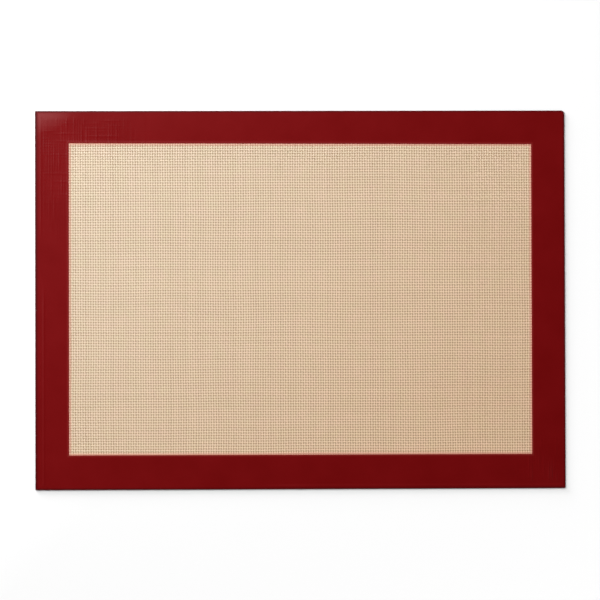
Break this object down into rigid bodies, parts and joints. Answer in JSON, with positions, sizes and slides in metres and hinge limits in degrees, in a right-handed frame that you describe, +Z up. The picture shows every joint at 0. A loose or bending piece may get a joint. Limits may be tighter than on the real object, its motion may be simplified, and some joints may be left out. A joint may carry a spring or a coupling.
{
  "type": "baking mat",
  "caption": "Flat rectangular baking mat: woven glass cloth coated with clear silicone, with a red silicone border round a cream window and a sealed rim, for lining a tray.",
  "frame": {"origin": "middle of the mat's outline, on the face that lies on the tray", "axes": "+X along the long side, +Y along the short side, +Z up from the tray to the food"},
  "size_m": [0.42, 0.3, 0.001],
  "materials": {
    "glass_cloth": "woven",
    "clear_silicone": "satin",
    "red_silicone": "satin"
  },
  "bodies": {
    "root": {"glass_cloth": "glass_cloth", "food_side_coat": "clear_silicone", "tray_side_coat": "clear_silicone", "food_side_border": "red_silicone", "tray_side_border": "red_silicone", "edge_seal": "red_silicone"}
  },
  "joints": []
}
